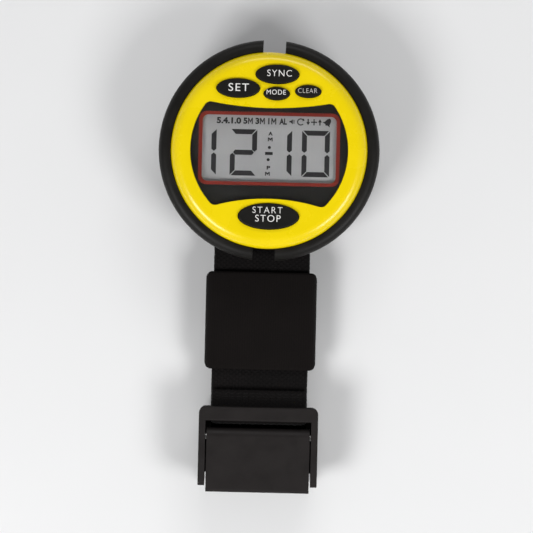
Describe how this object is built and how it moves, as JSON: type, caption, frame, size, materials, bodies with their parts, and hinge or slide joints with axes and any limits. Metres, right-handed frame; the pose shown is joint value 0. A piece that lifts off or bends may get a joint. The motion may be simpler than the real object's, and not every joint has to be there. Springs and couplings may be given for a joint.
{
  "type": "sailing start timer",
  "caption": "Round wrist-worn regatta start timer with a wide liquid-crystal display, rubber keys and side bumpers, on a webbing strap closed by a lever buckle.",
  "frame": {"origin": "on the plane that the closed strap lies on, straight under the centre of the round face", "axes": "+X towards 3 o'clock, +Y towards 12 o'clock, +Z out of the face"},
  "size_m": [0.058, 0.1189, 0.0236],
  "materials": {
    "yellow_case": "gloss",
    "black_case": "moulded grain",
    "adhesive_black": "matte",
    "mask_black": "printed film",
    "border_red": "printed film",
    "window_clear": "clear acrylic",
    "holder_white": "matt",
    "reflector_grey": "satin foil",
    "lcd_glass": "clear",
    "lcd_grey": "polariser film",
    "zebra_rubber": "striped",
    "board_green": "solder mask",
    "gold_pad": "plated",
    "epoxy_black": "semi gloss",
    "steel": "brushed",
    "brass": "satin",
    "ceramic_white": "silvered ceramic",
    "seal_rubber": "matte",
    "keypad_rubber": "matte",
    "bumper_rubber": "matte",
    "webbing_black": "woven nylon",
    "keeper_black": "ribbed elastic",
    "buckle_plastic": "moulded acetal",
    "key_rubber": "matte",
    "carbon_rubber": "matte"
  },
  "bodies": {
    "watch": {"front_bezel": "yellow_case", "main_case": "black_case", "back_cover": "black_case", "window_gasket": "adhesive_black", "window_mask": "mask_black", "display_border": "border_red", "display_window": "window_clear", "display_holder": "holder_white", "lcd_reflector": "reflector_grey", "lcd_rear_glass": "lcd_glass", "lcd_front_glass": "lcd_glass", "lcd_polariser": "lcd_grey", "upper_zebra_connector": "zebra_rubber", "lower_zebra_connector": "zebra_rubber", "circuit_board": "board_green", "key_contact_pads": "gold_pad", "processor_blob": "epoxy_black", "timing_crystal": "steel", "chip_components": "epoxy_black", "coin_cell": "steel", "cell_holder": "holder_white", "positive_cell_clip": "steel", "negative_cell_contact": "steel", "sounder_disc": "brass", "sounder_ceramic": "ceramic_white", "sounder_springs": "steel", "case_screws": "steel", "back_cover_screws": "steel", "bezel_seal": "seal_rubber", "back_cover_seal": "seal_rubber", "upper_keypad": "keypad_rubber", "lower_keypad": "keypad_rubber", "left_bumper": "bumper_rubber", "right_bumper": "bumper_rubber", "upper_lug_pin": "steel", "lower_lug_pin": "steel", "strap_webbing": "webbing_black", "buckle_frame": "buckle_plastic", "lever_pin": "steel", "webbing_pin": "steel"},
    "keeper": {"strap_keeper": "keeper_black"},
    "lever": {"buckle_lever": "buckle_plastic"},
    "set_button": {"set_key": "key_rubber", "set_contact_pill": "carbon_rubber"},
    "sync_button": {"sync_key": "key_rubber", "sync_contact_pill": "carbon_rubber"},
    "mode_button": {"mode_key": "key_rubber", "mode_contact_pill": "carbon_rubber"},
    "clear_button": {"clear_key": "key_rubber", "clear_contact_pill": "carbon_rubber"},
    "start_stop_button": {"start_stop_key": "key_rubber", "start_stop_contact_pill": "carbon_rubber"}
  },
  "joints": [
    {"name": "set_press", "type": "slide", "parent": "watch", "child": "set_button", "axis": [0, 0, -1], "range_m": [0, 0.00075], "stiffness_N_per_m": 1200},
    {"name": "sync_press", "type": "slide", "parent": "watch", "child": "sync_button", "axis": [0, 0, -1], "range_m": [0, 0.00075], "stiffness_N_per_m": 1200},
    {"name": "mode_press", "type": "slide", "parent": "watch", "child": "mode_button", "axis": [0, 0, -1], "range_m": [0, 0.00075], "stiffness_N_per_m": 1200},
    {"name": "clear_press", "type": "slide", "parent": "watch", "child": "clear_button", "axis": [0, 0, -1], "range_m": [0, 0.00075], "stiffness_N_per_m": 1200},
    {"name": "start_stop_press", "type": "slide", "parent": "watch", "child": "start_stop_button", "axis": [0, 0, -1], "range_m": [0, 0.00075], "stiffness_N_per_m": 1200},
    {"name": "lever_open", "type": "hinge", "parent": "watch", "child": "lever", "pos_m": [-0.0012, -0.0754, 0.0112], "axis": [-1, 0, 0], "range_deg": [0, 95]},
    {"name": "keeper_slide", "type": "slide", "parent": "watch", "child": "keeper", "axis": [0, 1, 0], "range_m": [-0.0052, 0.005]}
  ]
}
